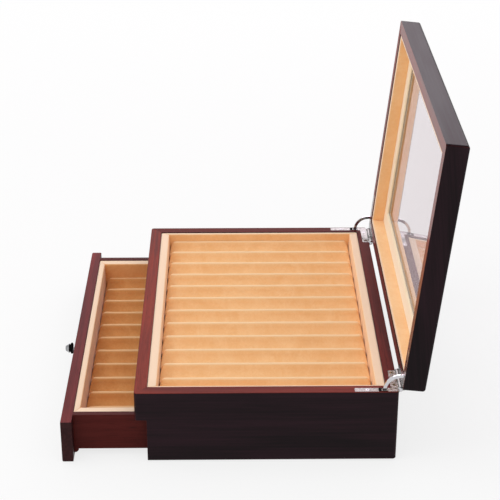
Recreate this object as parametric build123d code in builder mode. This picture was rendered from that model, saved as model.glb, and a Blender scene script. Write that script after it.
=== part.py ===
from build123d import *
from math import asin, degrees, sqrt
import os

# A pen collector chest: a case with a pen tray under a glazed lid, and a pen drawer below it.
# X runs along the hinges, the drawer front faces -Y, +Z is up, and the origin is the centre of
# the case's footprint on the table. The lid stands open on its stays and the drawer is part out.

# ---------------------------------------------------------------- driving dimensions (mm)
# Case
case_width = 309.0
case_depth = 210.0
case_height = 64.0  # table to the rim that the lid closes on
wall = 10.0
tray_rail = 25.0  # height of the front rail above the drawer
corner_round = 2.5
rim_round = 0.6
foot_bevel = 0.8
felt = 0.8
felt_inset = 2.0
bottom_ply = 4.8
shelf_ply = 3.0

# Drawer
front_thick = 9.2
front_round = 1.2
front_float = 0.6  # the front's lower edge hangs clear of the table
drawer_pull = 59.5  # how far the drawer stands open
drawer_side = 5.8
drawer_ply = 3.0
drawer_ply_rise = 0.6  # the bottom panel sits above the lower edges of the sides
glue_strip = 3.6

# Fabric linings
liner_recess = 0.6  # lining tops below the wood around them
liner_round = 1.0
tray_liner_ends = 8.0  # front and back
tray_liner_sides = 3.5
drawer_liner_front = 5.6
drawer_liner = 8.0
lid_liner = 4.0

# Pen beds
pen_pitch = 23.4  # narrowest spacing of the grooves
groove_depth = 9.0
crest_width = 2.0
crest_drop = 0.45
ridge_end_bevel = 3.0
bed_gap = 0.8  # from the ends of the ridges to the lining
tray_crest_below_rim = 7.8
drawer_crest = 22.5  # above the table

# Lid
lid_open = 96.0  # degrees from closed to the stays' stop
lid_height = 18.3
lid_round = 2.4
lid_relief = 1.8  # bevel along the back of the rim
lid_board = 5.3
window_border = 28.0  # outside of the lid to the window
window_bevel = 1.0
glass_thick = 2.0
glass_ledge = 4.0
trim_board = 1.2

# Quadrant hinges
pin_behind = 1.6  # hinge axis behind the case
pin_below = 0.6  # hinge axis below the case rim
pin_radius = 0.75
pin_head = 1.2
pin_head_bevel = 0.8
barrel_radius = 1.9
barrel_length = 28.0
leaf_thick = 1.5
leaf_inset = 1.2  # from the side of the case
leaf_round = 0.8
side_leg_length = 35.0
side_leg_width = 5.4
back_leg_length = 32.5
back_leg_width = 6.2
stay_radius = 13.0
stay_width = 2.6
stay_thick = 1.5
stay_head = 0.9  # the head stands out this far on both edges of the stay
stay_head_angle = 6.0

# Drawer knob, radii and distances from the drawer front
knob_foot = 3.0
knob_neck = 2.0
knob_disc = 4.2
knob_head = 3.8
knob_shoulder = 3.4
knob_tip = 1.8
knob_disc_start = 4.8
knob_disc_end = 6.6
knob_shoulder_start = 10.0
knob_reach = 12.0
knob_stud_radius = 1.5
knob_stud_length = 6.5
knob_height = 17.6  # above the table

# Clearances
rim_gap = 0.2  # lid to case when closed
drawer_side_gap = 0.7
drawer_lift = 0.3
drawer_head_gap = 1.4
landing_gap = 0.3
drawer_back_gap = 1.5
strip_gap = 2.5
leaf_fit = 0.1
barrel_gap = 0.2
knuckle_gap = 0.15
pin_fit = 0.02
pin_running = 0.05
stay_side_gap = 0.3
stay_slot_gap = 0.25
stay_stop_gap = 0.15
pocket_spare = 3.0  # degrees of slot past the stay's end
glass_fit = 0.3
stud_end_gap = 0.3

# ---------------------------------------------------------------- sizes that follow
half_width = case_width / 2
half_depth = case_depth / 2
case_outer = (half_width, half_depth)
case_inner = (half_width - wall, half_depth - wall)
apron_low = case_height - tray_rail
drawer_top = apron_low - drawer_head_gap
bottom_top = felt + bottom_ply
tray_floor = apron_low + shelf_ply
landing_y = -half_depth + front_thick + landing_gap

drawer_low = bottom_top + drawer_lift
front_y = -half_depth - drawer_pull  # outer face of the drawer front
drawer_front_y = front_y + front_thick
drawer_back_y = half_depth - wall - drawer_back_gap - drawer_pull
drawer_half = half_width - wall - drawer_side_gap
drawer_inside = drawer_half - drawer_side
drawer_floor = drawer_low + drawer_ply_rise + drawer_ply

axis_y = half_depth + pin_behind
axis_z = case_height - pin_below
case_rim = pin_below  # heights from here on are measured from the hinge axis
lid_rim = pin_below + rim_gap

stay_x = half_width - leaf_inset - side_leg_width / 2
stay_inner = stay_radius - stay_width / 2
stay_outer = stay_radius + stay_width / 2
head_inner = stay_inner - stay_head
head_outer = stay_outer + stay_head
slot_front = stay_outer + stay_slot_gap
slot_back = sqrt(stay_inner**2 - (lid_rim + leaf_thick) ** 2) - stay_slot_gap

FRONT, RIGHT, BACK, LEFT = range(4)
SIDES = {"front": FRONT, "right": RIGHT, "back": BACK, "left": LEFT}

# The hinge plane of the case, and the same plane carried round with the open lid
case_hinge = Plane(origin=(0, axis_y, axis_z), x_dir=(1, 0, 0), z_dir=(0, 0, 1))
lid_hinge = case_hinge.rotated((-lid_open, 0, 0))
# The lid's own plane: its origin is the centre of the lid's rim
lid_plane = Plane(
    origin=lid_hinge.from_local_coords((0, -axis_y, lid_rim)), x_dir=(1, 0, 0), z_dir=lid_hinge.z_dir
)
lid_up = Axis(origin=lid_plane.origin, direction=lid_plane.z_dir)


# ---------------------------------------------------------------- shared shapes
def corners(half_x, half_y, centre_y=0.0):
    """The corners of a rectangle, from front left round to back left."""
    low, high = centre_y - half_y, centre_y + half_y
    return [(-half_x, low), (half_x, low), (half_x, high), (-half_x, high)]


def mitred_wall(plane, side, outer, inner, height):
    """One side of a rectangular frame on a plane, mitred at both ends."""
    following = (side + 1) % 4
    with BuildSketch(plane) as outline:
        Polygon(outer[side], outer[following], inner[following], inner[side], align=None)
    extrude(outline.sketch, amount=height)


def lining(plane, side, outer, inner, height, up):
    """A fabric-covered board: a mitred wall with its two long top edges rounded."""
    with BuildPart() as board:
        mitred_wall(plane, side, outer, inner, height)
        top = board.edges().group_by(up)[-1]
        fillet(top.sort_by(SortBy.LENGTH)[-2:], radius=liner_round)
    return board


def mirrored(right):
    """The left-hand copy of a right-hand piece."""
    with BuildPart() as left:
        mirror(right.part, about=Plane.YZ)
    return left


def pen_bed(half_x, front, back, floor, crest):
    """A padded bed across the whole width, with a row of grooves that run front to back."""
    count = int(2 * half_x // pen_pitch)
    pitch = 2 * half_x / count
    groove_half = (pitch - crest_width) / 2
    shoulder = crest - crest_drop
    with BuildPart() as bed:
        with BuildSketch(Plane.XZ.offset(-front)):
            with BuildLine():
                Polyline(
                    (-half_x + crest_width / 2, shoulder), (-half_x, crest), (-half_x, floor),
                    (half_x, floor), (half_x, crest), (half_x - crest_width / 2, shoulder),
                )
                for index in range(count):
                    middle = -half_x + (index + 0.5) * pitch
                    ThreePointArc(
                        (middle - groove_half, shoulder),
                        (middle, crest - groove_depth),
                        (middle + groove_half, shoulder),
                    )
                for index in range(1, count):
                    ridge = -half_x + index * pitch
                    ThreePointArc(
                        (ridge - crest_width / 2, shoulder),
                        (ridge, crest),
                        (ridge + crest_width / 2, shoulder),
                    )
            make_face()
        extrude(amount=-(back - front))
        with BuildSketch(Plane.YZ.offset(-half_x)) as side_view:
            with Locations(((front + back) / 2, floor)):
                Rectangle(back - front, crest - floor, align=(Align.CENTER, Align.MIN))
            chamfer(side_view.vertices().group_by(Axis.Y)[-1], length=ridge_end_bevel)
        extrude(amount=2 * half_x, mode=Mode.INTERSECT)
    return bed


# ---------------------------------------------------------------- quadrant hinge shapes
def section(plane, x):
    """A plane across the hinge axis at x, with the plane's own back and up directions."""
    return Plane(origin=plane.from_local_coords((x, 0, 0)), x_dir=plane.y_dir, z_dir=plane.x_dir)


def leaf_outline(grow=0.0):
    """The L shape of a leaf, seen from above, about the hinge axis."""
    outer_x = half_width - leaf_inset + grow
    inner_x = half_width - leaf_inset - side_leg_width - grow
    far_x = half_width - leaf_inset - back_leg_length - grow
    back = -pin_behind + grow
    front = -pin_behind - side_leg_length - grow
    inside = -pin_behind - back_leg_width - grow
    Polygon(
        (outer_x, back), (outer_x, front), (inner_x, front),
        (inner_x, inside), (far_x, inside), (far_x, back),
        align=None,
    )


def leaf_plate(plane, low, thickness, grow=0.0, mode=Mode.ADD):
    with BuildSketch(plane.offset(low)) as outline:
        leaf_outline(grow)
        fillet(outline.vertices().sort_by(Axis.Y)[:4], radius=leaf_round)
    extrude(outline.sketch, amount=thickness, mode=mode)


def stay_pocket(plane, start, finish):
    """The curved slot in the wood that the stay slides into."""
    thickness = stay_thick + 2 * stay_side_gap
    with BuildSketch(stay_section(plane, thickness)) as slot:
        arc_band(head_inner - stay_slot_gap, head_outer + stay_slot_gap, start, finish)
    extrude(slot.sketch, amount=thickness, mode=Mode.SUBTRACT)


def stay_section(plane, thickness):
    """A plane on the stay's outer face, with angles counted from the front up towards the lid."""
    origin = plane.from_local_coords((stay_x + thickness / 2, 0, 0))
    return Plane(origin=origin, x_dir=-plane.y_dir, z_dir=-plane.x_dir)


def arc_band(inner, outer, start, finish):
    """A stretch of ring about the hinge axis, from one angle to another."""
    with BuildLine() as band:
        outer_arc = CenterArc((0, 0), outer, start, finish - start)
        inner_arc = CenterArc((0, 0), inner, start, finish - start)
        Line(outer_arc @ 0, inner_arc @ 0)
        Line(outer_arc @ 1, inner_arc @ 1)
    make_face(band.edges())


def hinge_mortise(plane, face, facing):
    """The seat and barrel room for a leaf, cut in the wood on its side of the joint."""
    low = face - leaf_thick if facing > 0 else face
    leaf_plate(plane, low, leaf_thick, grow=leaf_fit, mode=Mode.SUBTRACT)
    barrel_room(plane)


def barrel_room(plane):
    with BuildSketch(section(plane, barrel_start - pin_head - barrel_gap)) as room:
        Circle(barrel_radius + barrel_gap)
    extrude(room.sketch, amount=barrel_length + 2 * (pin_head + barrel_gap), mode=Mode.SUBTRACT)


def knuckle(plane, start, length, low, reach, bore):
    """A barrel section rolled from the leaf's back edge."""
    back = -pin_behind
    with BuildSketch(section(plane, start)) as roll:
        Circle(barrel_radius)
        with Locations((back - leaf_thick, low)):
            Rectangle(leaf_thick - back + reach, leaf_thick, align=(Align.MIN, Align.MIN))
        Circle(bore, mode=Mode.SUBTRACT)
    extrude(roll.sketch, amount=length)


def leaf(plane, face, facing, knuckles, reach, bore):
    """An L-shaped leaf with its knuckles and its slot for the stay."""
    low = face - leaf_thick if facing > 0 else face
    with BuildPart() as plate:
        leaf_plate(plane, low, leaf_thick)
        barrel_room(plane)
        for start, length in knuckles:
            knuckle(plane, start, length, low, reach, bore)
        with BuildSketch(plane.offset(low)):
            with Locations((stay_x, -slot_front)):
                Rectangle(
                    stay_thick + 2 * stay_side_gap,
                    slot_front - slot_back,
                    align=(Align.CENTER, Align.MIN),
                )
        extrude(amount=leaf_thick, mode=Mode.SUBTRACT)
    return plate


barrel_start = half_width - leaf_inset - back_leg_length
knuckle_third = barrel_length / 3
outer_knuckles = [
    (barrel_start, knuckle_third - knuckle_gap),
    (barrel_start + 2 * knuckle_third + knuckle_gap, knuckle_third - knuckle_gap),
]
middle_knuckle = [(barrel_start + knuckle_third, knuckle_third)]

# The stay's heads stop just under the case leaf and just over the lid leaf when the lid is open
lower_head = -degrees(asin((leaf_thick - case_rim + stay_stop_gap) / head_inner))
upper_head = degrees(asin((lid_rim + leaf_thick + stay_stop_gap) / head_inner))
pocket_reach = lid_open / 2 + stay_head_angle + pocket_spare

# ---------------------------------------------------------------- case
with BuildPart() as case_block:
    with BuildSketch(Plane.XY.offset(felt)):
        RectangleRounded(case_width, case_depth, corner_round)
    extrude(amount=case_height - felt)
    chamfer(case_block.edges().group_by(Axis.Z)[0], length=foot_bevel)
    fillet(case_block.edges().group_by(Axis.Z)[-1], radius=rim_round)

case_plane = Plane.XY.offset(felt)
case_corners = (corners(*case_outer), corners(*case_inner))

with BuildPart() as case_right:
    mitred_wall(case_plane, RIGHT, *case_corners, case_height - felt)
    add(case_block.part, mode=Mode.INTERSECT)
    # the lower front corner is cut back to land the drawer front
    with BuildSketch(case_plane):
        with Locations((half_width, landing_y)):
            Rectangle(2 * wall + corner_round, 2 * wall, align=(Align.CENTER, Align.MAX))
    extrude(amount=apron_low - felt, mode=Mode.SUBTRACT)
    hinge_mortise(case_hinge, case_rim, 1)
    stay_pocket(case_hinge, lower_head - pocket_reach, 0)

case_left = mirrored(case_right)

with BuildPart() as case_back:
    mitred_wall(case_plane, BACK, *case_corners, case_height - felt)
    add(case_block.part, mode=Mode.INTERSECT)
    hinge_mortise(case_hinge, case_rim, 1)
    stay_pocket(case_hinge, lower_head - pocket_reach, 0)
    split(bisect_by=Plane.YZ)
    mirror(about=Plane.YZ)

with BuildPart() as case_apron:
    mitred_wall(Plane.XY.offset(apron_low), FRONT, *case_corners, case_height - apron_low)
    add(case_block.part, mode=Mode.INTERSECT)

# The bottom stops short of the front to clear the strip behind the drawer front
bottom_front = landing_y + glue_strip + strip_gap
with BuildPart() as case_bottom:
    with BuildSketch(case_plane):
        with Locations((0, case_inner[1])):
            Rectangle(2 * case_inner[0], case_inner[1] - bottom_front, align=(Align.CENTER, Align.MAX))
    extrude(amount=bottom_ply)

with BuildPart() as case_shelf:
    with BuildSketch(Plane.XY.offset(apron_low)):
        Rectangle(2 * case_inner[0], 2 * case_inner[1])
    extrude(amount=shelf_ply)

with BuildPart() as base_felt:
    with BuildSketch(Plane.XY):
        with Locations((0, half_depth - felt_inset)):
            Rectangle(
                case_width - 2 * felt_inset,
                half_depth - felt_inset - bottom_front,
                align=(Align.CENTER, Align.MAX),
            )
    extrude(amount=felt)

# ---------------------------------------------------------------- tray
tray_corners = (
    corners(*case_inner),
    corners(case_inner[0] - tray_liner_sides, case_inner[1] - tray_liner_ends),
)
tray_liner_height = case_height - liner_recess - tray_floor
tray_liners = {
    f"tray_liner_{name}": lining(Plane.XY.offset(tray_floor), side, *tray_corners, tray_liner_height, Axis.Z)
    for name, side in SIDES.items()
}
tray_bed_end = case_inner[1] - tray_liner_ends - bed_gap
tray_bed = pen_bed(
    case_inner[0] - tray_liner_sides,
    -tray_bed_end,
    tray_bed_end,
    tray_floor,
    case_height - tray_crest_below_rim,
)

# ---------------------------------------------------------------- drawer
with BuildPart() as drawer_front:
    with BuildSketch(Plane.XZ.offset(-front_y)):
        with Locations((0, front_float)):
            Rectangle(case_width, drawer_top - front_float, align=(Align.CENTER, Align.MIN))
    extrude(amount=-front_thick)
    fillet(drawer_front.faces().sort_by(Axis.Y)[0].edges(), radius=front_round)
    fillet(drawer_front.faces().sort_by(Axis.Y)[-1].edges(), radius=rim_round)
    with Locations(Plane(origin=(0, front_y, knob_height), z_dir=(0, -1, 0))):
        Hole(radius=knob_stud_radius, depth=knob_stud_length + stud_end_gap)

with BuildPart() as drawer_side_right:
    with BuildSketch(Plane.XY.offset(drawer_low)):
        Polygon(
            (drawer_inside, drawer_front_y), (drawer_half, drawer_front_y),
            (drawer_half, drawer_back_y), (drawer_inside, drawer_back_y),
            align=None,
        )
    extrude(amount=drawer_top - drawer_low)
    fillet(drawer_side_right.edges().group_by(Axis.Z)[-1].sort_by(SortBy.LENGTH)[-2:], radius=rim_round)

drawer_side_left = mirrored(drawer_side_right)

with BuildPart() as drawer_back:
    with BuildSketch(Plane.XY.offset(drawer_low)):
        with Locations((0, drawer_back_y)):
            Rectangle(2 * drawer_inside, drawer_side, align=(Align.CENTER, Align.MAX))
    extrude(amount=drawer_top - drawer_low)
    fillet(drawer_back.edges().group_by(Axis.Z)[-1].sort_by(SortBy.LENGTH)[-2:], radius=rim_round)

drawer_back_inside = drawer_back_y - drawer_side
drawer_half_length = (drawer_back_inside - drawer_front_y) / 2
drawer_middle = (drawer_back_inside + drawer_front_y) / 2
with BuildPart() as drawer_bottom:
    with BuildSketch(Plane.XY.offset(drawer_floor - drawer_ply)):
        Polygon(*corners(drawer_inside, drawer_half_length, drawer_middle), align=None)
    extrude(amount=drawer_ply)

# A quadrant bead glued under the drawer, behind its front
with BuildPart() as drawer_bead:
    with BuildSketch(Plane.YZ.offset(-drawer_half)):
        with BuildLine():
            corner = (drawer_front_y, drawer_low)
            Line(corner, (drawer_front_y + glue_strip, drawer_low))
            Line(corner, (drawer_front_y, drawer_low - glue_strip))
            CenterArc(corner, glue_strip, 270, 90)
        make_face()
    extrude(amount=2 * drawer_half)

drawer_inner_corners = corners(
    drawer_inside - drawer_liner,
    (drawer_back_inside - drawer_liner - drawer_front_y - drawer_liner_front) / 2,
    (drawer_back_inside - drawer_liner + drawer_front_y + drawer_liner_front) / 2,
)
drawer_corners = (corners(drawer_inside, drawer_half_length, drawer_middle), drawer_inner_corners)
drawer_liner_height = drawer_top - liner_recess - drawer_floor
drawer_liners = {
    f"drawer_liner_{name}": lining(
        Plane.XY.offset(drawer_floor), side, *drawer_corners, drawer_liner_height, Axis.Z
    )
    for name, side in SIDES.items()
}
drawer_bed = pen_bed(
    drawer_inside - drawer_liner,
    drawer_front_y + drawer_liner_front + bed_gap,
    drawer_back_inside - drawer_liner - bed_gap,
    drawer_floor,
    drawer_crest,
)

# ---------------------------------------------------------------- knob
# The profile runs from the stud in the wood outwards: neck, thin disc, head
with BuildPart() as drawer_knob:
    with BuildSketch(Plane(origin=(0, front_y, knob_height), x_dir=(1, 0, 0), z_dir=(0, 0, 1))):
        Polygon(
            (0, knob_stud_length), (knob_stud_radius, knob_stud_length), (knob_stud_radius, 0),
            (knob_foot, 0), (knob_neck, -knob_disc_start), (knob_disc, -knob_disc_start),
            (knob_disc, -knob_disc_end), (knob_head, -knob_disc_end), (knob_shoulder, -knob_shoulder_start),
            (knob_tip, -knob_reach), (0, -knob_reach),
            align=None,
        )
    revolve(axis=Axis((0, front_y, knob_height), (0, 1, 0)))

# ---------------------------------------------------------------- lid
with BuildPart() as lid_block:
    with BuildSketch(lid_plane):
        RectangleRounded(case_width, case_depth, corner_round)
    extrude(amount=lid_height)
    fillet(lid_block.edges().group_by(lid_up)[-1], radius=lid_round)
    # bevel along the back of the rim, so that the lid turns past upright without touching the case
    with BuildSketch(section(lid_plane, -half_width)):
        Polygon((half_depth - lid_relief, 0), (half_depth, 0), (half_depth, lid_relief), align=None)
    extrude(amount=case_width, mode=Mode.SUBTRACT)

with BuildPart() as lid_right:
    mitred_wall(lid_plane, RIGHT, *case_corners, lid_height)
    add(lid_block.part, mode=Mode.INTERSECT)
    hinge_mortise(lid_hinge, lid_rim, -1)
    stay_pocket(lid_hinge, 0, upper_head + pocket_reach)

lid_left = mirrored(lid_right)

with BuildPart() as lid_back:
    mitred_wall(lid_plane, BACK, *case_corners, lid_height)
    add(lid_block.part, mode=Mode.INTERSECT)
    hinge_mortise(lid_hinge, lid_rim, -1)
    stay_pocket(lid_hinge, 0, upper_head + pocket_reach)
    split(bisect_by=Plane.YZ)
    mirror(about=Plane.YZ)

with BuildPart() as lid_front:
    mitred_wall(lid_plane, FRONT, *case_corners, lid_height)
    add(lid_block.part, mode=Mode.INTERSECT)

window = (half_width - window_border, half_depth - window_border)
with BuildPart() as lid_window_frame:
    with BuildSketch(lid_plane.offset(lid_height - lid_board)):
        Rectangle(2 * case_inner[0], 2 * case_inner[1])
        Rectangle(2 * window[0], 2 * window[1], mode=Mode.SUBTRACT)
    extrude(amount=lid_board)
    # rebate for the glass, on the inside
    with BuildSketch(lid_plane.offset(lid_height - lid_board)):
        Rectangle(2 * (window[0] + glass_ledge), 2 * (window[1] + glass_ledge))
    extrude(amount=glass_thick, mode=Mode.SUBTRACT)
    outside = lid_window_frame.faces().sort_by(lid_up)[-1]
    chamfer(outside.inner_wires().edges(), length=window_bevel)

with BuildPart() as lid_glass:
    with BuildSketch(lid_plane.offset(lid_height - lid_board)):
        Rectangle(2 * (window[0] + glass_ledge - glass_fit), 2 * (window[1] + glass_ledge - glass_fit))
    extrude(amount=glass_thick)

lid_lining = (case_inner[0] - lid_liner, case_inner[1] - lid_liner)
with BuildPart() as window_trim:
    with BuildSketch(lid_plane.offset(lid_height - lid_board - trim_board)):
        Rectangle(2 * lid_lining[0], 2 * lid_lining[1])
        Rectangle(2 * window[0], 2 * window[1], mode=Mode.SUBTRACT)
    extrude(amount=trim_board)

lid_corners = (corners(*case_inner), corners(*lid_lining))
lid_liner_height = lid_height - lid_board - liner_recess
lid_liners = {
    f"lid_liner_{name}": lining(
        lid_plane.offset(liner_recess), side, *lid_corners, lid_liner_height, lid_up.reverse()
    )
    for name, side in SIDES.items()
}

# ---------------------------------------------------------------- quadrant hinges
case_leaf_right = leaf(case_hinge, case_rim, 1, outer_knuckles, 0, pin_radius + pin_fit)
lid_leaf_right = leaf(lid_hinge, lid_rim, -1, middle_knuckle, -barrel_radius / 2, pin_radius + pin_running)
case_leaf_left = mirrored(case_leaf_right)
lid_leaf_left = mirrored(lid_leaf_right)

with BuildPart() as hinge_pin_right:
    with BuildSketch(section(case_hinge, barrel_start)):
        Circle(pin_radius)
    extrude(amount=barrel_length)
    for start, amount in ((barrel_start, -pin_head), (barrel_start + barrel_length, pin_head)):
        with BuildSketch(section(case_hinge, start)):
            Circle(barrel_radius)
        extrude(amount=amount)
    ends = hinge_pin_right.edges().group_by(Axis.X)
    chamfer(ends[0] + ends[-1], length=pin_head_bevel)

hinge_pin_left = mirrored(hinge_pin_right)

with BuildPart() as stay_right:
    with BuildSketch(stay_section(case_hinge, stay_thick)):
        arc_band(stay_inner, stay_outer, lower_head, lid_open + upper_head)
        arc_band(head_inner, head_outer, lower_head - stay_head_angle, lower_head)
        arc_band(head_inner, head_outer, lid_open + upper_head, lid_open + upper_head + stay_head_angle)
    extrude(amount=stay_thick)

stay_left = mirrored(stay_right)

# ---------------------------------------------------------------- files
pieces = {
    "case_right": case_right,
    "case_left": case_left,
    "case_back": case_back,
    "case_apron": case_apron,
    "case_bottom": case_bottom,
    "case_shelf": case_shelf,
    "base_felt": base_felt,
    **tray_liners,
    "tray_bed": tray_bed,
    "drawer_front": drawer_front,
    "drawer_side_right": drawer_side_right,
    "drawer_side_left": drawer_side_left,
    "drawer_back": drawer_back,
    "drawer_bottom": drawer_bottom,
    "drawer_bead": drawer_bead,
    **drawer_liners,
    "drawer_bed": drawer_bed,
    "drawer_knob": drawer_knob,
    "lid_right": lid_right,
    "lid_left": lid_left,
    "lid_back": lid_back,
    "lid_front": lid_front,
    "lid_window_frame": lid_window_frame,
    "lid_glass": lid_glass,
    "window_trim": window_trim,
    **lid_liners,
    "case_leaf_right": case_leaf_right,
    "case_leaf_left": case_leaf_left,
    "lid_leaf_right": lid_leaf_right,
    "lid_leaf_left": lid_leaf_left,
    "hinge_pin_right": hinge_pin_right,
    "hinge_pin_left": hinge_pin_left,
    "stay_right": stay_right,
    "stay_left": stay_left,
}
os.makedirs("parts", exist_ok=True)
for name, piece in pieces.items():
    piece.part.label = name
    export_step(piece.part, f"parts/{name}.step")
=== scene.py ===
import math

import bmesh
import bpy
from mathutils import Matrix, Vector, noise


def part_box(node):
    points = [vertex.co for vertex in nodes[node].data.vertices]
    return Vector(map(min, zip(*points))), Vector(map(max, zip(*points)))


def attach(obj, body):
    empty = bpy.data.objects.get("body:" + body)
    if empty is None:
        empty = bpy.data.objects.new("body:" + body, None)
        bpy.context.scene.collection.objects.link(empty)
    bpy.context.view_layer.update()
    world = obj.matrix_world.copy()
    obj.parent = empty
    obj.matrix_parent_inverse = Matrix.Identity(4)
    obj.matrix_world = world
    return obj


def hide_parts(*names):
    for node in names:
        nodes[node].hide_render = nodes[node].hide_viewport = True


# The looks of a pen collector chest: lacquered wood, suede pen beds and linings, a glazed lid on
# chrome quadrant hinges, and a turned chrome knob. Sizes are in millimetres, and MM turns them
# into the metres of the scene.

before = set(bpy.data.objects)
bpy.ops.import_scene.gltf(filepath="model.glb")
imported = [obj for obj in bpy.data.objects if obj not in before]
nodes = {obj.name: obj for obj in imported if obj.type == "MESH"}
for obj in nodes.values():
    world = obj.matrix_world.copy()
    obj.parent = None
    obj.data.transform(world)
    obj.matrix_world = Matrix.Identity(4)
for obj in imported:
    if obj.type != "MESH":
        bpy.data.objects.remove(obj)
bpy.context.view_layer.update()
MM = 0.001
X, Y, Z = range(3)
UP = (0, 0, 1)
HANDS = (("right", 1), ("left", -1))

# ---------------------------------------------------------------- sizes of the chest (mm)
half_width, half_depth = 154.5, 105.0
wall = 10.0
case_rim = 64.0
axis_y, axis_z = 106.6, 63.4  # hinge axis
lid_open = 96.0  # degrees
lid_rim = 64.2  # underside of the closed lid
lid_board = 13.0  # inside of the window board, above the rim of the lid
window = (126.5, 77.0)  # half width and half depth

# The half width, front and back of each lined space, and the thickness of the linings at its
# sides, front and back
case_space = (half_width - wall, wall - half_depth, half_depth - wall)
drawer_space = (138.0, -155.3, 28.2)
tray_lining = (3.5, 8.0, 8.0)
drawer_lining = (8.0, 5.6, 8.0)
lid_lining = (4.0, 4.0, 4.0)
tray_floor, tray_lining_height = 42.0, 21.4
drawer_floor, drawer_lining_height = 9.5, 27.5
lid_lining_height = 12.4
tray_bed_top, drawer_bed_top = 56.2, 22.5
border_width = case_space[0] - lid_lining[0] - window[0]  # from the lid's lining to the window

knob_y, knob_z = -164.5, 17.6  # where the knob's axis meets the drawer's front
knob_stud = 6.5
stay_x = 150.6
screw_spots = ((150.6, 80.2), (143.3, 101.9), (124.3, 101.9))
barrel = (120.8, 148.8)  # ends of the knuckles along the hinge axis
barrel_radius = 1.9
pin_head = 1.2
pin_core = 0.75

# The closed lid turned open about its hinge
to_axis = Matrix.Translation((0, axis_y * MM, axis_z * MM))
open_lid = to_axis @ Matrix.Rotation(math.radians(-lid_open), 4, "X") @ to_axis.inverted()
lid_rim_way = tuple(-(open_lid.to_3x3() @ Vector(UP)))  # the way the rim of the open lid faces
lid_tilt = 90.0 - lid_open  # degrees about X, from the open lid to upright


def lid_at(x, y, height):
    """A point of the open lid, from where it is on the closed one, height above its rim."""
    return open_lid @ (Vector((x, y, lid_rim + height)) * MM) / MM


# ---------------------------------------------------------------- material helpers
def connect(tree, made, values):
    """Sets or links a node's inputs."""
    for key, value in values.items():
        if isinstance(value, bpy.types.NodeSocket):
            tree.links.new(value, made.inputs[key])
        else:
            made.inputs[key].default_value = value


def node(tree, kind, values=None, **settings):
    """A shader node with its settings, and its inputs set or linked."""
    made = tree.nodes.new("ShaderNode" + kind)
    for key, value in settings.items():
        setattr(made, key, value)
    connect(tree, made, values or {})
    return made


def empty_tree(owner):
    """The node tree of a material or world, with nothing in it yet."""
    owner.use_nodes = True
    owner.node_tree.nodes.clear()
    return owner.node_tree


def new_material(name):
    """A node material, its tree, and a Principled shader that isn't shown yet."""
    made = bpy.data.materials.new(name)
    tree = empty_tree(made)
    return made, tree, node(tree, "BsdfPrincipled")


def show(tree, shader, kind="OutputMaterial"):
    """Makes a shader the surface of its material or world."""
    node(tree, kind, {"Surface": shader.outputs[0]})


def rgb(red, green, blue):
    return (red, green, blue, 1.0)


def mixed(tree, factor, first, second, mode="MIX"):
    """Two colours mixed by a factor."""
    return node(
        tree, "Mix", {0: factor, 6: first, 7: second}, data_type="RGBA", blend_type=mode
    ).outputs[2]


def spread(tree, value, low, high, to_low=0.0, to_high=1.0, smooth=False):
    """A value carried from one range to another, and held at its ends."""
    return node(
        tree,
        "MapRange",
        {0: value, 1: low, 2: high, 3: to_low, 4: to_high},
        interpolation_type="SMOOTHSTEP" if smooth else "LINEAR",
    ).outputs[0]


def grains(tree, vector, scale=1.0, detail=2.0, rough=0.5, distortion=0.0):
    """A noise pattern. scale is in cycles per metre, or 1 where the vector is scaled already."""
    values = {
        "Vector": vector, "Scale": scale, "Detail": detail, "Roughness": rough, "Distortion": distortion
    }
    return node(tree, "TexNoise", values).outputs[0]


def plus(tree, first, second):
    return node(tree, "Math", {0: first, 1: second}, operation="ADD").outputs[0]


def times(tree, first, second):
    return node(tree, "Math", {0: first, 1: second}, operation="MULTIPLY").outputs[0]


def larger(tree, first, second):
    return node(tree, "Math", {0: first, 1: second}, operation="MAXIMUM").outputs[0]


def dot(tree, first, second):
    return node(tree, "VectorMath", {0: first, 1: second}, operation="DOT_PRODUCT").outputs["Value"]


def bumped(tree, height, strength, distance):
    """The normal of a surface with a relief. distance is in millimetres."""
    return node(
        tree, "Bump", {"Height": height, "Strength": strength, "Distance": distance * MM}
    ).outputs[0]


def object_place(tree):
    return node(tree, "TexCoord").outputs["Object"]


# ---------------------------------------------------------------- materials
# Stains, deep and light, and one painted shade. BLACK and BROWN are on the outside, and the reds on rims and
# inner boards
BLACK = rgb(0.0050, 0.0012, 0.0026), rgb(0.0190, 0.0058, 0.0100)
BROWN = rgb(0.0240, 0.0048, 0.0050), rgb(0.0500, 0.0125, 0.0130)
RIM_RED = rgb(0.120, 0.017, 0.013), rgb(0.235, 0.040, 0.030)
# The next red is darker, for the far side and back of the case: painted shade
FAR_SHADE_RED = rgb(0.072, 0.0095, 0.0085), rgb(0.150, 0.0230, 0.0190)
APRON_RED = rgb(0.150, 0.0210, 0.0135), rgb(0.290, 0.0475, 0.0310)
FRONT_RED = rgb(0.112, 0.018, 0.0185), rgb(0.218, 0.041, 0.041)
SIDE_RED = rgb(0.066, 0.0080, 0.0066), rgb(0.100, 0.0150, 0.0118)
PORE = rgb(0.006, 0.002, 0.002)
worn_edge = 0.9  # how far (mm) the lacquer is rubbed thin from an edge

# Suedes, as brushed and where the nap lies dark
SUEDE = rgb(0.95, 0.62, 0.325), rgb(0.90, 0.54, 0.255)
# A little lighter on the lid's lining: painted light on the lid's inside
LID_LIT_LINER = rgb(0.97, 0.645, 0.35), rgb(0.93, 0.57, 0.28)
# The drawer's lining and bed are darker and deeper in colour: painted shade under the case
DRAWER_SHADED_LINER = rgb(0.95, 0.51, 0.21), rgb(0.88, 0.43, 0.165)
DRAWER_SHADED_BED = rgb(0.765, 0.365, 0.132), rgb(0.69, 0.300, 0.096)
# Much paler on the trim round the window: painted sheen on its cloth
TRIM_SHEEN_PALE = rgb(0.98, 0.84, 0.60), rgb(0.96, 0.79, 0.53)
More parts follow.
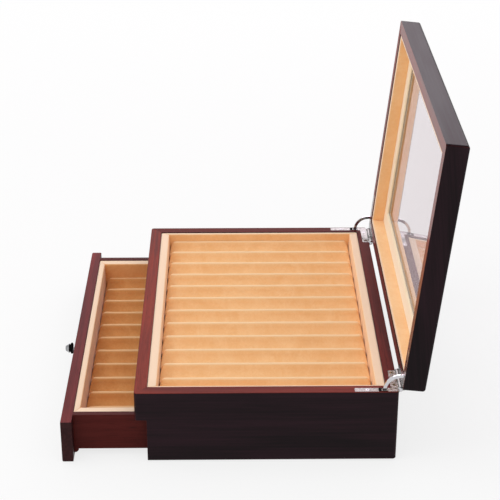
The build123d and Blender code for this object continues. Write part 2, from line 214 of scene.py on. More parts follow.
# Painted highlights: the same, paler on free edges and on the ridges of the beds, where the light falls on
# them
EDGE_HIGHLIGHT = rgb(0.94, 0.71, 0.52)
TRAY_CREST_HIGHLIGHT = rgb(0.95, 0.69, 0.42)
DRAWER_CREST_HIGHLIGHT = rgb(0.90, 0.56, 0.29)


def wood(name, along, stain, rim=None, outside=BLACK, rim_gloss=0.015, tilt=0.0):
    """Lacquered wood, glossy and dark outside, and stained red-brown with a thin finish on the
    rims. along is the axis of the grain, and tilt the turn about X that squares a leaning board
    with the axes. stain and outside are each a deep and a light colour. rim is the way the red
    faces point, or None where the whole board is red."""
    made, tree, shader = new_material(name)
    place = node(tree, "TexCoord").outputs
    squared = {"Vector": place["Object"], "Rotation": (math.radians(tilt), 0, 0)}
    squared_place = node(tree, "Mapping", squared).outputs[0]

    def stretched(length, across):
        """The place, in cycles per metre along the grain and across it."""
        scale = [across] * 3
        scale[along] = length
        return node(tree, "Mapping", {"Vector": squared_place, "Scale": scale}).outputs[0]

    streaks = grains(tree, stretched(9, 420), detail=5, rough=0.62, distortion=0.25)
    figure = grains(tree, stretched(5, 52), detail=3, rough=0.55, distortion=0.6)
    pores = spread(tree, grains(tree, stretched(60, 2600)), 0.60, 0.72)
    tone = spread(tree, plus(tree, streaks, figure), 0.78, 1.24)

    red = mixed(tree, tone, *stain)
    if rim is None:
        colour, gloss = red, spread(tree, streaks, 0.3, 0.7, 0.03, 0.06)
    else:
        on_rim = spread(tree, dot(tree, place["Normal"], rim), 0.45, 0.85, smooth=True)
        dark = mixed(tree, tone, *outside)
        # Along the edges the lacquer is rubbed thin, and the red shows through
        eased = node(tree, "Bevel", {"Radius": worn_edge * MM}, samples=6).outputs[0]
        corner = dot(tree, eased, node(tree, "NewGeometry").outputs["Normal"])
        worn = times(tree, spread(tree, corner, 0.995, 0.80), spread(tree, streaks, 0.35, 0.65, 0.05, 0.4))
        colour = mixed(tree, on_rim, mixed(tree, worn, dark, red), red)
        gloss = spread(tree, on_rim, 0.0, 1.0, 0.15, rim_gloss)
    colour = mixed(tree, times(tree, pores, 0.55), colour, PORE)
    relief = plus(tree, streaks, times(tree, pores, -1.5))
    connect(
        tree,
        shader,
        {
            "Base Color": colour,
            "Roughness": spread(tree, tone, 0.0, 1.0, 0.42, 0.55),
            "Specular IOR Level": 0.05,
            "Coat Weight": gloss,
            "Coat Roughness": 0.16,
            "Normal": bumped(tree, relief, 0.12, 0.05),
        },
    )
    show(tree, shader)
    return made


def suede(name, brushed, deep, highlight=None, way=UP, pale_from=0.0, pale_to=0.0, sheen=0.4):
    """Suede with a short nap, a little darker in patches. Given a highlight colour, it pales to that colour
    between two distances (mm) along a way: a painted highlight."""
    made, tree, shader = new_material(name)
    place = object_place(tree)
    patches = grains(tree, place, 42, detail=3, rough=0.6, distortion=0.8)
    strokes = grains(tree, place, 300, detail=3, rough=0.6, distortion=1.5)
    nap = grains(tree, place, 3200, rough=0.7)
    worn = plus(tree, times(tree, patches, 0.6), times(tree, strokes, 0.4))
    base = mixed(tree, spread(tree, worn, 0.40, 0.62), deep, brushed)
    if highlight is not None:
        # Painted highlight: paler towards the free edge or the top of the ridges
        highlit = spread(tree, dot(tree, place, way), pale_from * MM, pale_to * MM, smooth=True)
        base = mixed(tree, highlit, base, highlight)
    base = mixed(tree, times(tree, spread(tree, nap, 0.35, 0.75), 0.12), base, deep, mode="MULTIPLY")
    relief = plus(tree, nap, times(tree, strokes, 0.8))
    connect(
        tree,
        shader,
        {
            "Base Color": base,
            "Roughness": spread(tree, nap, 0.3, 0.7, 0.84, 0.97),
            "Specular IOR Level": 0.2,
            "Sheen Weight": sheen,
            "Sheen Roughness": 0.45,
            "Sheen Tint": rgb(1.0, 0.94, 0.88),
            "Normal": bumped(tree, relief, 0.35, 0.12),
        },
    )
    show(tree, shader)
    return made


def felt(name):
    """Dark felt with matted fibres."""
    made, tree, shader = new_material(name)
    place = object_place(tree)
    matted = grains(tree, place, 900, detail=6, rough=0.75, distortion=2.0)
    patches = grains(tree, place, 70, detail=3)
    base = mixed(tree, spread(tree, matted, 0.35, 0.7), rgb(0.008, 0.006, 0.006), rgb(0.030, 0.022, 0.021))
    connect(
        tree,
        shader,
        {
            "Base Color": mixed(tree, times(tree, patches, 0.25), base, rgb(0.045, 0.034, 0.032)),
            "Roughness": spread(tree, matted, 0.3, 0.7, 0.88, 1.0),
            "Sheen Weight": 0.4,
            "Normal": bumped(tree, matted, 0.6, 0.2),
        },
    )
    show(tree, shader)
    return made


def chrome_plate(name, rough, dim, bright, cloud_scale=160):
    """Polished chrome with faint clouding and hairline scratches."""
    made, tree, shader = new_material(name)
    place = object_place(tree)
    cloud = grains(tree, place, cloud_scale, detail=3)
    combed = node(tree, "Mapping", {"Vector": place, "Scale": (300, 5200, 5200)}).outputs[0]
    hairlines = grains(tree, combed, rough=0.6)
    connect(
        tree,
        shader,
        {
            "Base Color": mixed(tree, spread(tree, cloud, 0.3, 0.7), dim, bright),
            "Metallic": 1.0,
            "Roughness": spread(tree, cloud, 0.3, 0.7, rough * 0.7, rough * 1.3),
            "Normal": bumped(tree, hairlines, 0.05, 0.02),
        },
    )
    show(tree, shader)
    return made


def dull_paint(name, deep, chalky):
    """Dull dark paint, a little chalky in patches, for painted shade and painted reflection."""
    made, tree, shader = new_material(name)
    chalk = grains(tree, object_place(tree), 1400, detail=3, rough=0.6)
    connect(
        tree,
        shader,
        {
            "Base Color": mixed(tree, spread(tree, chalk, 0.4, 0.7), deep, chalky),
            "Roughness": spread(tree, chalk, 0.3, 0.7, 0.55, 0.75),
            "Specular IOR Level": 0.03,
        },
    )
    show(tree, shader)
    return made


def window_glass(name):
    """A clear pane with a faint cast, a trace of dust, and only a faint shadow."""
    made, tree, shader = new_material(name)
    place = object_place(tree)
    dust = grains(tree, place, 60, detail=4, rough=0.7)
    connect(
        tree,
        shader,
        {
            "Base Color": mixed(tree, dust, rgb(0.655, 0.575, 0.600), rgb(0.715, 0.640, 0.665)),
            "Transmission Weight": 1.0,
            "Roughness": spread(tree, dust, 0.5, 0.8, 0.0, 0.02),
            "IOR": 1.5,
            "Normal": bumped(tree, grains(tree, place, 12, detail=0), 0.02, 0.1),
        },
    )
    clear = node(tree, "BsdfTransparent", {"Color": rgb(0.88, 0.84, 0.87)})
    in_shadow = node(tree, "LightPath").outputs["Is Shadow Ray"]
    show(tree, node(tree, "MixShader", {0: in_shadow, 1: shader.outputs[0], 2: clear.outputs[0]}))
    return made


def lining_suede(name, colours, edge, way=UP, pale_from=-0.7, pale_to=-0.1):
    """The suede of a lining, paler towards its free edge: a painted highlight where the light falls on it.
    """
    return suede(name, *colours, EDGE_HIGHLIGHT, way, edge + pale_from, edge + pale_to)


def bed_suede(name, colours, crest, top, pale_from):
    """The suede of a pen bed, paler towards the top of its ridges: a painted highlight on the crests."""
    return suede(name, *colours, crest, UP, top + pale_from, top - 0.2)


TRAY_SUEDE = lining_suede("tray_suede", SUEDE, tray_floor + tray_lining_height)
DRAWER_SUEDE = lining_suede("drawer_suede", DRAWER_SHADED_LINER, drawer_floor + drawer_lining_height)
lid_edge = lid_at(0, 0, lid_board - lid_lining_height).dot(Vector(lid_rim_way))
LID_SUEDE = lining_suede("lid_suede", LID_LIT_LINER, lid_edge, lid_rim_way, pale_from=-0.8, pale_to=-0.2)
TRAY_BED_SUEDE = bed_suede("tray_bed_suede", SUEDE, TRAY_CREST_HIGHLIGHT, tray_bed_top, -1.6)
DRAWER_BED_SUEDE = bed_suede("drawer_bed_suede", DRAWER_SHADED_BED, DRAWER_CREST_HIGHLIGHT, drawer_bed_top, -1.5)
TRIM_SUEDE = suede("trim_suede", *TRIM_SHEEN_PALE, sheen=1.0)
BASE_FELT = felt("base_felt")
CHROME = chrome_plate("chrome", 0.11, rgb(0.52, 0.51, 0.535), rgb(0.68, 0.67, 0.695))
# A darker chrome for the knob and the screws: painted shade, for the dark reflections they show
KNOB_SHADED_CHROME = chrome_plate("knob_shaded_chrome", 0.08, rgb(0.26, 0.26, 0.27), rgb(0.42, 0.42, 0.43))
# A darker chrome still for the leaves: painted shade, toning down their white reflection
LEAF_SHADED_CHROME = chrome_plate(
    "leaf_shaded_chrome", 0.24, rgb(0.115, 0.110, 0.105), rgb(0.37, 0.365, 0.35), cloud_scale=420
)
# Black for painted shade and painted reflection: the knob's disc and neck, the collars round the stays, and
# the screws' recesses
SHADE_AND_REFLECTION_BLACK = dull_paint("shade_and_reflection_black", rgb(0.004, 0.004, 0.004), rgb(0.012, 0.011, 0.011))
# A dark board edge under the trim's cloth: painted shade along the glass
SHADE_LINE_BOARD = dull_paint("board_shade_line", rgb(0.022, 0.009, 0.006), rgb(0.036, 0.016, 0.010))
GLASS = window_glass("window_glass")

on_lid = {"rim": lid_rim_way, "tilt": lid_tilt}
CASE_WOOD = wood("case_wood", Y, RIM_RED, rim=UP)
# Painted shade: the far side and back of the case get the darker red
FAR_SHADED_WOOD = {axis: wood(f"far_shaded_wood_{axis}", axis, FAR_SHADE_RED, rim=UP) for axis in (X, Y)}
APRON_WOOD = wood("apron_wood", X, APRON_RED, rim=UP)
FRONT_WOOD = wood("front_wood", X, FRONT_RED, rim=UP, outside=BROWN)
RED_WOOD = {axis: wood(f"red_wood_{axis}", axis, SIDE_RED) for axis in (X, Y)}
LID_WOOD = {axis: wood(f"lid_wood_{axis}", axis, RIM_RED, rim_gloss=0.42, **on_lid) for axis in (X, Z)}
# Less gloss on the lid's far end, so its rim reads darker: painted shade
LID_FAR_SHADED_WOOD = wood("lid_far_shaded_wood", Z, RIM_RED, rim_gloss=0.12, **on_lid)

finishes = {
    "case_right": CASE_WOOD,
    "case_left": FAR_SHADED_WOOD[Y],
    "case_back": FAR_SHADED_WOOD[X],
    "case_apron": APRON_WOOD,
    "case_bottom": RED_WOOD[X],
    "case_shelf": RED_WOOD[X],
    "drawer_front": FRONT_WOOD,
    "drawer_side_right": RED_WOOD[Y],
    "drawer_side_left": RED_WOOD[Y],
    "drawer_back": RED_WOOD[X],
    "drawer_bottom": RED_WOOD[X],
    "drawer_bead": RED_WOOD[X],
    "lid_right": LID_WOOD[Z],
    "lid_left": LID_FAR_SHADED_WOOD,
    "lid_back": LID_WOOD[X],
    "lid_front": LID_WOOD[X],
    "lid_window_frame": LID_WOOD[X],
    "lid_glass": GLASS,
    "case_leaf_right": LEAF_SHADED_CHROME,
    "case_leaf_left": LEAF_SHADED_CHROME,
    "lid_leaf_right": LEAF_SHADED_CHROME,
    "lid_leaf_left": LEAF_SHADED_CHROME,
    "stay_right": CHROME,
    "stay_left": CHROME,
}
metal_edge = 0.22  # width (mm) of the eased edges of the leaves and stays
for name, finish in finishes.items():
    for held in nodes[name].material_slots:
        held.material = finish
    if finish in (CHROME, LEAF_SHADED_CHROME):
        eased = nodes[name].modifiers.new("eased", "BEVEL")
        eased.width, eased.segments = metal_edge * MM, 2
        eased.limit_method, eased.angle_limit = "ANGLE", math.radians(40)


# ---------------------------------------------------------------- shape helpers
def piece(name, vertices, faces, finish, slot):
    """A mesh from points in millimetres. Points that meet are welded, and edges sharper than the
    crease angle stay sharp."""
    crease = math.radians(38)
    mesh = bpy.data.meshes.new(name)
    mesh.from_pydata([Vector(v) * MM for v in vertices], [], faces)
    made = bmesh.new()
    made.from_mesh(mesh)
    bmesh.ops.remove_doubles(made, verts=made.verts, dist=0.001 * MM)
    bmesh.ops.recalc_face_normals(made, faces=made.faces)
    made.to_mesh(mesh)
    made.free()
    mesh.shade_smooth()
    mesh.set_sharp_from_angle(angle=crease)
    mesh.materials.append(finish)
    obj = bpy.data.objects.new(name, mesh)
    bpy.context.scene.collection.objects.link(obj)
    return obj


def loft(rings, round_trip=False):
    """Points and faces of a skin over closed rings, joined end to end or capped."""
    size = len(rings[0])
    points = [p for ring in rings for p in ring]
    faces = []
    for start in range(len(rings) if round_trip else len(rings) - 1):
        near, far = start * size, (start + 1) % len(rings) * size
        for i in range(size):
            j = (i + 1) % size
            faces.append((near + i, near + j, far + j, far + i))
    if not round_trip:
        faces += [tuple(range(size)), tuple(range(len(points) - size, len(points)))]
    return points, faces


def rounded(points, steps=6):
    """A polyline of (x, y, radius) corners, with each corner rounded."""
    line = []
    for i, (x, y, radius) in enumerate(points):
        here = Vector((x, y))
        if radius == 0:
            line.append(here)
            continue
        before = (Vector(points[i - 1][:2]) - here).normalized()
        after = (Vector(points[(i + 1) % len(points)][:2]) - here).normalized()
        half = before.angle(after) / 2
        reach = radius / math.tan(half)
        centre = here + (before + after).normalized() * radius / math.sin(half)
        start, end = here + before * reach - centre, here + after * reach - centre
        for step in range(steps + 1):
            line.append(centre + start.slerp(end, step / steps) * (radius / start.length))
    return line


def resampled(outline, spacing):
    """A closed outline with points added along it, about the spacing apart."""
    dense = []
    for i, start in enumerate(outline):
        end = outline[(i + 1) % len(outline)]
        count = max(1, round((end - start).length / spacing))
        dense += [start.lerp(end, k / count) for k in range(count)]
    return dense


def turned(profile, to_world, segments, hollow=False):
    """A lathed skin from (distance along, radius) points, capped, or closed on itself where it is
    hollow. to_world places (along, u, v)."""
    angles = [2 * math.pi * k / segments for k in range(segments)]
    rings = []
    for along, radius in profile:
        rings.append([to_world(along, radius * math.cos(a), radius * math.sin(a)) for a in angles])
    return loft(rings, round_trip=hollow)


def grid_faces(rows, width):
    """The faces of a grid of points kept row by row."""
    return [
        (r * width + c, r * width + c + 1, (r + 1) * width + c + 1, (r + 1) * width + c)
        for r in range(rows - 1)
        for c in range(width - 1)
    ]


def grid_rim(rows, width):
    """The points round the edge of such a grid, in turn."""
    last_row = (rows - 1) * width
    rim = [*range(width), *(r * width + width - 1 for r in range(1, rows))]
    rim += range(last_row + width - 2, last_row - 1, -1)
    rim += range(last_row - width, 0, -width)
    return rim


def clamped(value, low=0.0, high=1.0):
    return min(max(value, low), high)


def ripple(x, y, z, size, amount):
    """A small smooth unevenness, the same on every run."""
    return amount * noise.noise(Vector((x, y, z)) / size)


def corners(space):
    """The corners of a space of (half width, front, back), in turn from the front left one."""
    half_x, front, back = space
    return [(-half_x, front), (half_x, front), (half_x, back), (-half_x, back)]


def inset(space, thick):
    """A space less a thickness at its sides, front and back."""
    return space[0] - thick[0], space[1] + thick[1], space[2] - thick[2]


# ---------------------------------------------------------------- linings
SIDES = ("front", "right", "back", "left")
lining_gap = 0.05  # between a lining and what it stands against (mm)
lining_crown = 0.25  # how far its face swells at mid height
lining_edge = 1.15  # radius of its free edge
straight_foot = 1.0  # height up to which the face doesn't wave
tuck_depth, tuck_length = 0.35, 0.8  # how the cloth is drawn in at the mitres


def board_outline(thick, height):
    """The section of a fabric-covered board: (depth from the wood, height), crowned a little."""
    back, face, top = lining_gap, thick - lining_gap - lining_crown, height - lining_gap
    plain = [(back, back, 0), (back, top, lining_edge * 0.8), (face, top, lining_edge), (face, back, 0)]
    section = resampled(rounded(plain), spacing=1.5)
    for p in section:
        swell = lining_crown * math.sin(math.pi * clamped(p.y / height))
        p.x += swell * clamped((p.x - back) / (face - back))
    return section


def lining(name, body, slot, finish, outer, inner, foot, height, up, place, seed):
    """A covered board between two mitres. outer holds its two corners against the wood, inner the
    two free ones, foot is where it stands, and up the way it rises."""
    outer = [Vector((*p, 0)) for p in outer]
    inner = [Vector((*p, 0)) for p in inner]
    along = outer[1] - outer[0]
    inwards = inner[0] - outer[0]
    thick = abs(inwards.dot(Vector((-along.y, along.x, 0)).normalized()))
    section = board_outline(thick, height)
    middle = Vector((thick / 2, height / 2))
    length = along.length
    near_end = [0.0, 0.25, tuck_length]
    spans = 24
    stations = near_end + [length * k / spans for k in range(1, spans)]
    stations += [length - s for s in reversed(near_end)]
    rings = []
    for s in stations:
        tuck = tuck_depth * (1 - min(min(s, length - s) / tuck_length, 1)) ** 2
        ring = []
        for p in section:
            depth, rise = p + (middle - p).normalized() * tuck
            share = depth / thick
            start, end = outer[0].lerp(inner[0], share), outer[1].lerp(inner[1], share)
            spot = start.lerp(end, s / length)
            if rise > straight_foot:
                wave = ripple(spot.x + seed, spot.y, rise * 2, size=26, amount=0.10)
                spot += inwards.normalized() * min(wave, lining_gap) * share
            ring.append(Vector((spot.x, spot.y, foot + up * rise)))
        rings.append(ring)
    points, faces = loft(rings)
    if place is not None:
        points = [place @ (p * MM) / MM for p in points]
    made = piece(name + "_cover", points, faces, finish, slot)
    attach(made, body)
    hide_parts(name)


def linings(stem, body, slot, finish, space, thick, foot, height, up=1, place=None):
    """Four covered boards round a space."""
    outer, inner = corners(space), corners(inset(space, thick))
    for side, word in enumerate(SIDES):
        following = (side + 1) % len(SIDES)
        lining(
            f"{stem}_{word}", body, slot, finish, (outer[side], outer[following]),
            (inner[side], inner[following]), foot, height, up, place, seed=37 * side,
        )


linings(
    "tray_liner", "case", "tray_suede", TRAY_SUEDE,
    case_space, tray_lining, tray_floor, tray_lining_height,
)
linings(
    "drawer_liner", "drawer", "drawer_suede", DRAWER_SUEDE,
    drawer_space, drawer_lining, drawer_floor, drawer_lining_height,
)
linings(
    "lid_liner", "lid", "lid_suede", LID_SUEDE,
    case_space, lid_lining, lid_rim + lid_board, lid_lining_height, up=-1, place=open_lid,
)


# ---------------------------------------------------------------- border round the window
def window_border(name, finish, slot, section, puff=0.0):
    """A flat frame between the lid's lining and the glass. section runs from the lining towards
    the glass and from the board towards the rim of the lid, and puff is how much its face swells."""
    outer = corners(inset(case_space, lid_lining))
    inner = corners((window[0], -window[1], window[1]))
    section = resampled(section, spacing=2.0)
    face = max(p.y for p in section) - 0.1
    spans = 30
    rings = []
    for side in range(len(SIDES)):
        following = (side + 1) % len(SIDES)
        for k in range(spans):
            ring = []
            for depth, rise in section:
                share = depth / border_width
                start = Vector(outer[side]).lerp(Vector(inner[side]), share)
                end = Vector(outer[following]).lerp(Vector(inner[following]), share)
                x, y = start.lerp(end, k / spans)
                if rise > face:
                    rise += puff * math.sin(math.pi * share) - ripple(x, y, 0, size=18, amount=puff / 2)
                ring.append(lid_at(x, y, lid_board - rise))
            rings.append(ring)
    made = piece(name, *loft(rings, round_trip=True), finish, slot)
    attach(made, "lid")
    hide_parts("window_trim")
    return made


# The cloth, and the dark board that shows under its inner edge: painted shade, the shadow line where the
# trim meets the glass
border_start = 0.1
cloth_foot, cloth_face, cloth_end = 0.5, 1.1, border_width - 0.15
board_face, board_end = 0.45, border_width - 0.25
cloth_section = [
    (border_start, cloth_foot, 0), (border_start, cloth_face, 0.3),
    (cloth_end, cloth_face, 0.35), (cloth_end, cloth_foot, 0.1),
]
shade_line_section = [
    (border_start, 0.0, 0), (border_start, board_face, 0), (board_end, board_face, 0.1), (board_end, 0.0, 0)
]
border_cover = window_border(
    "window_trim_cover", TRIM_SUEDE, "lid_suede", rounded(cloth_section, steps=4), puff=0.08
)
window_border("window_trim_board", SHADE_LINE_BOARD, "lacquered_wood", rounded(shade_line_section, steps=2))


# ---------------------------------------------------------------- pen beds
groove_depth = 9.0
crest_half = 1.35  # half the width of a ridge's crest
crest_drop = 0.55  # from the middle of a crest to its sides
end_radius = 4.2  # of a ridge's end, at its crest
foot_radius = 0.6  # of the same end, at the bottom of a groove


def bed_columns(start, end, count):
    """The places across a bed of count grooves, closer together on the crests."""
    pitch = (end - start) / count
    groove = pitch - 2 * crest_half
    on_crest, in_groove = 3, 16
    places = []
    for index in range(count):
        left = start + index * pitch
        places += [left + crest_half * k / on_crest for k in range(on_crest)]
        places += [left + crest_half + groove * k / in_groove for k in range(in_groove)]
        places += [left + pitch - crest_half * (1 - k / on_crest) for k in range(on_crest)]
    return [*places, end]


def pen_bed(name, body, slot, finish, count):
    """A padded bed with grooves from front to back, its ridges rounded off at their ends."""
    low, high = (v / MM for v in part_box(name))
    pitch = (high.x - low.x) / count
    groove_half = pitch / 2 - crest_half
    sink = groove_depth - crest_drop
    radius = (groove_half**2 + sink**2) / (2 * sink)
    bottom = high.z - groove_depth
    middle_y, half_y = (low.y + high.y) / 2, (high.y - low.y) / 2

    def top(x, y):
        """Height of the cloth, and how far up a ridge it is, from 0 to 1."""
        ridge = low.x + round((x - low.x) / pitch) * pitch
        off = abs(x - ridge)
        if off < crest_half:
            z = high.z - crest_drop * (off / crest_half) ** 2
        else:
            z = bottom + radius - math.sqrt(radius**2 - (pitch / 2 - off) ** 2)
        height = (z - bottom) / groove_depth
        z -= abs(ripple(ridge, y, 5, size=30, amount=0.5)) * height
        z += min(0, ripple(x, y, 9, size=14, amount=0.25))
        return z, height

    def along(x, share):
        """A point of a groove or ridge between its ends."""
        y = low.y + end_radius + 2 * (half_y - end_radius) * share
        return Vector((x, y, top(x, y)[0]))

    def rounded_end(x, end, share):
        """A point where the cloth bends down at the front (-1) or back (1) of the bed. share is 0
        at the foot of the bend and 1 at its top."""
        z, height = top(x, middle_y + end * half_y)
        bend = math.pi / 2 * share
        reach = foot_radius + (end_radius - foot_radius) * height
        pull = 0.9 * height**2
        bulge = 0.76 * (1 - height)
        y = middle_y + end * (half_y + bulge - pull - reach * (1 - math.cos(bend)))
        z -= reach * (1 - math.sin(bend))
        x += ripple(x, y, z, size=6, amount=0.35) * height
        return Vector((clamped(x, low.x, high.x), y, z))

    columns = bed_columns(low.x, high.x, count)
    bends, spans = 7, 18
    front = [[rounded_end(x, -1, k / bends) for x in columns] for k in range(bends + 1)]
    between = [[along(x, k / spans) for x in columns] for k in range(1, spans)]
    back = [[rounded_end(x, 1, k / bends) for x in columns] for k in range(bends, -1, -1)]
    feet = [[Vector((x, y, low.z)) for x in columns] for y in (low.y, high.y)]
    grid = []
    for line in [feet[0], *front, *between, *back, feet[1]]:
        left_foot = Vector((low.x, line[0].y, low.z))
        right_foot = Vector((high.x, line[-1].y, low.z))
        grid.append([left_foot, *line, right_foot])

    points = [p for line in grid for p in line]
    shape = len(grid), len(grid[0])
    faces = [*grid_faces(*shape), tuple(grid_rim(*shape))]
    made = piece(name + "_cover", points, faces, finish, slot)
    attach(made, body)
    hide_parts(name)


pen_bed("tray_bed", "case", "tray_suede", TRAY_BED_SUEDE, 12)
pen_bed("drawer_bed", "drawer", "drawer_suede", DRAWER_BED_SUEDE, 11)


# ---------------------------------------------------------------- felt under the case
def base_cloth():
    """A thin felt sheet glued under the case, its cut edge a little wavy and thinner."""
    low, high = (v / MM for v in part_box("base_felt"))
    columns, lines = 40, 26
    thinner = 0.25
    upper, lower = [], []
    for j in range(lines + 1):
        for i in range(columns + 1):
            x = low.x + (high.x - low.x) * i / columns
            y = low.y + (high.y - low.y) * j / lines
            border = i in (0, columns) or j in (0, lines)
            if border and 0 < j < lines:
                x = clamped(x + ripple(x, y, 3, size=9, amount=0.4), low.x, high.x)
            upper.append(Vector((x, y, high.z)))
            lower.append(Vector((x, y, low.z + (thinner if border else 0.0))))
    shape = lines + 1, columns + 1
    below = len(upper)
    faces = grid_faces(*shape)
    faces += [tuple(below + v for v in reversed(face)) for face in faces]
    rim = grid_rim(*shape)
    for a, b in zip(rim, rim[1:] + rim[:1]):
        faces.append((a, below + a, below + b, b))
    made = piece("base_felt_cloth", upper + lower, faces, BASE_FELT, "felt")
    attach(made, "case")
    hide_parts("base_felt")


base_cloth()

# ---------------------------------------------------------------- knob
# (distance along from the drawer's front, radius, radius of the corner), outwards from the stud
knob_profile = rounded(
    [
        (knob_stud, 0.0, 0), (knob_stud, 1.5, 0.3), (0.0, 1.5, 0),  # stud in the wood
        (0.0, 3.0, 0.15), (-0.7, 3.0, 0.3), (-1.1, 1.4, 0.4),  # foot
        (-5.2, 1.3, 0.4), (-5.75, 2.2, 0.2), (-5.9, 1.5, 0), (-7.55, 1.5, 0),  # stem
        (-7.65, 2.6, 0.1), (-8.5, 3.7, 0.5), (-10.0, 3.6, 1.3), (-11.6, 2.1, 1.0), (-11.6, 0.0, 0),  # head
    ]
)
# The disc on the stem, and the neck between it and the head, in black: painted reflection of the dark bands
# in the chrome
disc_profile = rounded(
    [
        (-5.7, 1.4, 0), (-5.7, 4.2, 0.2), (-6.3, 4.2, 0.25),
        (-6.6, 1.8, 0.3), (-7.1, 1.8, 0.2), (-7.5, 2.7, 0.1), (-7.5, 1.4, 0),
    ],
    steps=4,
)


def on_knob(along, u, v):
    return Vector((u, knob_y + along, knob_z + v))


knob_segments = 56
knob_skin = turned(knob_profile, on_knob, knob_segments)
disc_skin = turned(disc_profile, on_knob, knob_segments, hollow=True)
for made in (
    piece("drawer_knob_turned", *knob_skin, KNOB_SHADED_CHROME, "chrome"),
    piece("drawer_knob_disc", *disc_skin, SHADE_AND_REFLECTION_BLACK, "chrome"),
):
    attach(made, "drawer")
    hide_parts("drawer_knob")

# ---------------------------------------------------------------- hinge pins
# One end of a pin: (distance out from the knuckles, radius, radius of the corner)
pin_end = [
    (pin_head, 0.0, 0), (pin_head, 1.3, 0.6), (0.5, barrel_radius, 0.6), (0.0, barrel_radius, 0),
    (0.0, pin_core, 0),
]
inner_end = [(barrel[0] - out, radius, corner) for out, radius, corner in pin_end]
outer_end = [(barrel[1] + out, radius, corner) for out, radius, corner in reversed(pin_end)]
pin_profile = rounded(inner_end + outer_end, steps=5)


def hinge_pin(name, sign):
    """A headed pin through the knuckles."""

    def on_axis(along, u, v):
        return Vector((sign * along, axis_y + u, axis_z + v))

    made = piece(name + "_turned", *turned(pin_profile, on_axis, segments=32), CHROME, "chrome")
    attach(made, "case")
    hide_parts(name)


for side, sign in HANDS:
    hinge_pin(f"hinge_pin_{side}", sign)


# ---------------------------------------------------------------- collars round the stays, black as painted shadow of the slots
collar_outside = (2.4, 89.3, 95.9)  # half width, front and back
collar_hole = (1.1, 91.95, 95.5)
collar_rise, lip_rise = 0.14, 0.18  # above the leaf, at its outside and round its hole


def slot_shadow_collar(name, sign):
    """A black collar let into the case leaf where the stay goes down through it: painted shadow of the slot
    in the leaf.
    """
    outer = rounded([(*p, 0.6) for p in corners(collar_outside)], steps=4)
    inner = rounded([(*p, 0.2) for p in corners(collar_hole)], steps=4)
    rings = []
    for outline, lift in ((outer, 0.0), (outer, collar_rise), (inner, lip_rise), (inner, 0.0)):
        rings.append([Vector((sign * (stay_x + p.x), p.y, case_rim + lift)) for p in outline])
    made = piece(name, *loft(rings, round_trip=True), SHADE_AND_REFLECTION_BLACK, "lacquered_wood")
    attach(made, "case")


for side, sign in HANDS:
    slot_shadow_collar(f"stay_bushing_{side}", sign)


# ---------------------------------------------------------------- hinge screws
screw_radius = 1.6
screw_sunk, screw_proud = 0.4, 0.08
recess_size = (1.9, 0.36, 0.5)  # length, width and depth of each bar of the cross
recess_height = 0.27


def recess_bar(turn):
    """One bar of the cross recess, as a cutter."""
    size = Matrix.Diagonal((*(v * MM for v in recess_size), 1))
    bar = bmesh.new()
    bmesh.ops.create_cube(bar, size=1, matrix=Matrix.Rotation(math.radians(turn), 4, "Z") @ size)
    mesh = bpy.data.meshes.new("screw_recess")
    bar.to_mesh(mesh)
    bar.free()
    # The faces cut by the recess take this black: painted shade
    mesh.materials.append(SHADE_AND_REFLECTION_BLACK)
    cutter = bpy.data.objects.new("screw_recess", mesh)
    cutter.location = (0, 0, recess_height * MM)
    bpy.context.scene.collection.objects.link(cutter)
    return cutter


def screw_mesh():
    """A countersunk head, almost flush, with a cross recess painted black: painted shade in the recess. It
    points along +Z.
    """

    def on_z(along, u, v):
        return Vector((u, v, along))

    profile = [
        (-screw_sunk, 0.0), (-screw_sunk, screw_radius - 0.25), (0.0, screw_radius),
        (screw_proud, screw_radius - 0.1), (screw_proud, 0.0),
    ]
    head = piece("screw_head", *turned(profile, on_z, segments=28), KNOB_SHADED_CHROME, "chrome")
    for turn in (0, 90):
        cutter = recess_bar(turn)
        cut = head.modifiers.new("recess", "BOOLEAN")
        cut.operation, cut.solver, cut.object = "DIFFERENCE", "EXACT", cutter
        cut.material_mode = "TRANSFER"
        bpy.context.view_layer.update()
        carved = bpy.data.meshes.new_from_object(head.evaluated_get(bpy.context.evaluated_depsgraph_get()))
        head.modifiers.clear()
        head.data = carved
        bpy.data.objects.remove(cutter)
    mesh = head.data
    bpy.data.objects.remove(head)
    return mesh


def screw(name, body, mesh, place):
    """A hinge screw with the shared mesh, on one body."""
    made = bpy.data.objects.new(name, mesh)
    made.matrix_world = place
    bpy.context.scene.collection.objects.link(made)
    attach(made, body)


screw_shape = screw_mesh()
upside_down = Matrix.Rotation(math.pi, 4, "X")
for side, sign in HANDS:
    for index, (x, y) in enumerate(screw_spots):
        turn = Matrix.Rotation(1.7 * index + 0.6 * sign, 4, "Z")  # each was driven home at its own angle
        on_case = Matrix.Translation((sign * x * MM, y * MM, case_rim * MM))
        on_lid_rim = Matrix.Translation((sign * x * MM, y * MM, lid_rim * MM)) @ upside_down
        screw(f"case_screw_{side}_{index + 1}", "case", screw_shape, on_case @ turn)
        screw(f"lid_screw_{side}_{index + 1}", "lid", screw_shape, open_lid @ on_lid_rim @ turn)


# ---------------------------------------------------------------- floor, light and camera
def seen(tree):
    """1 for rays that show the background itself: to the camera, in gloss or through glass."""
    path = node(tree, "LightPath").outputs
    straight_or_gloss = larger(tree, path["Is Camera Ray"], path["Is Glossy Ray"])
    return larger(tree, straight_or_gloss, path["Is Transmission Ray"])


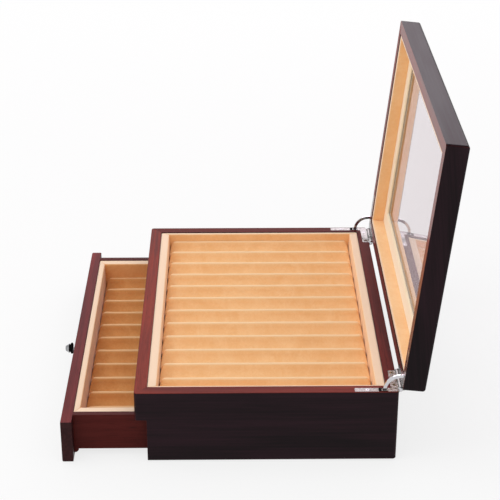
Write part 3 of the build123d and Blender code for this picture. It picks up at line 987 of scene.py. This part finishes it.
def floor():
    """A pale matt floor that shows white further off, and keeps the shadow near the chest."""
    reach = 30.0  # metres
    near, far = 0.45, 1.5  # metres from the middle
    near_share = 0.78  # of the plain white, where the shadow falls
    mesh = bpy.data.meshes.new("floor")
    outline = [(*p, 0) for p in corners((reach, -reach, reach))]
    mesh.from_pydata(outline, [], [(0, 1, 2, 3)])
    made = bpy.data.objects.new("floor", mesh)
    bpy.context.scene.collection.objects.link(made)
    paper = bpy.data.materials.new("floor")
    tree = empty_tree(paper)
    matt = node(tree, "BsdfDiffuse", {"Color": rgb(0.86, 0.86, 0.86)})
    glow = node(tree, "Emission", {"Color": rgb(1, 1, 1), "Strength": 1.0})
    away = node(tree, "VectorMath", {0: object_place(tree)}, operation="LENGTH").outputs["Value"]
    share = times(tree, seen(tree), spread(tree, away, near, far, near_share, 1.0, smooth=True))
    show(tree, node(tree, "MixShader", {0: share, 1: matt.outputs[0], 2: glow.outputs[0]}))
    mesh.materials.append(paper)


def sky(level):
    """White all round, with a darker ceiling where gloss looks up at it."""
    world = bpy.data.worlds.new("studio")
    bpy.context.scene.world = world
    tree = empty_tree(world)
    up = node(tree, "SeparateXYZ", {0: node(tree, "TexCoord").outputs["Generated"]}).outputs["Z"]
    gloss = node(tree, "LightPath").outputs["Is Glossy Ray"]
    ceiling = times(tree, spread(tree, up, 0.60, 0.80, smooth=True), gloss)
    light = node(tree, "Background", {"Color": rgb(1, 1, 1), "Strength": level})
    backdrop = node(tree, "Background", {"Color": mixed(tree, ceiling, rgb(1, 1, 1), rgb(0.32, 0.32, 0.33))})
    both = node(tree, "MixShader", {0: seen(tree), 1: light.outputs[0], 2: backdrop.outputs[0]})
    show(tree, both, "OutputWorld")


def softbox(name, place, target, size, power, tint=(1.0, 1.0, 1.0), mirrored=True):
    """A rectangular lamp at a place (m), turned to a target. mirrored is whether gloss shows it."""
    lamp = bpy.data.lights.new(name, "AREA")
    lamp.shape = "RECTANGLE"
    lamp.size, lamp.size_y = size
    lamp.energy, lamp.color = power, tint
    made = bpy.data.objects.new(name, lamp)
    made.location = place
    made.visible_glossy = mirrored
    made.rotation_euler = (Vector(target) - Vector(place)).to_track_quat("-Z", "Y").to_euler()
    bpy.context.scene.collection.objects.link(made)


floor()
sky(level=0.70)
softbox("key", (0.1, -0.65, 1.30), (0, 0, 0.05), size=(1.1, 1.1), power=6.5, mirrored=False)
softbox("far", (-1.5, 0.12, 0.87), (0, 0, 0.1), size=(1.4, 0.55), power=6.0, tint=(1.0, 0.85, 0.95))


def camera(place, turn, dip, roll, lens):
    """The camera at a place (m), looking along -X but for a turn about Z, a dip and a roll
    (degrees). lens is its focal length on a sensor 36 mm wide."""
    turn, dip, roll = (math.radians(v) for v in (turn, dip, roll))
    spin = Matrix.Rotation(turn, 3, "Z")
    ahead, right, up = spin @ Vector((-1, 0, 0)), spin @ Vector((0, 1, 0)), Vector((0, 0, 1))
    view = math.cos(dip) * ahead - math.sin(dip) * up
    upright = math.cos(dip) * up + math.sin(dip) * ahead
    across = math.cos(roll) * right + math.sin(roll) * upright
    top = math.cos(roll) * upright - math.sin(roll) * right
    data = bpy.data.cameras.new("camera")
    data.lens, data.sensor_width = lens, 36.0
    data.clip_start, data.clip_end = 0.05, 50.0
    made = bpy.data.objects.new("camera", data)
    made.matrix_world = Matrix.Translation(place) @ Matrix((across, top, -view)).transposed().to_4x4()
    bpy.context.scene.collection.objects.link(made)
    bpy.context.scene.camera = made


camera((1.142, -0.02764, 0.66753), turn=-0.833, dip=25.833, roll=0.102, lens=105.09)
bpy.context.scene.view_settings.view_transform = "Standard"
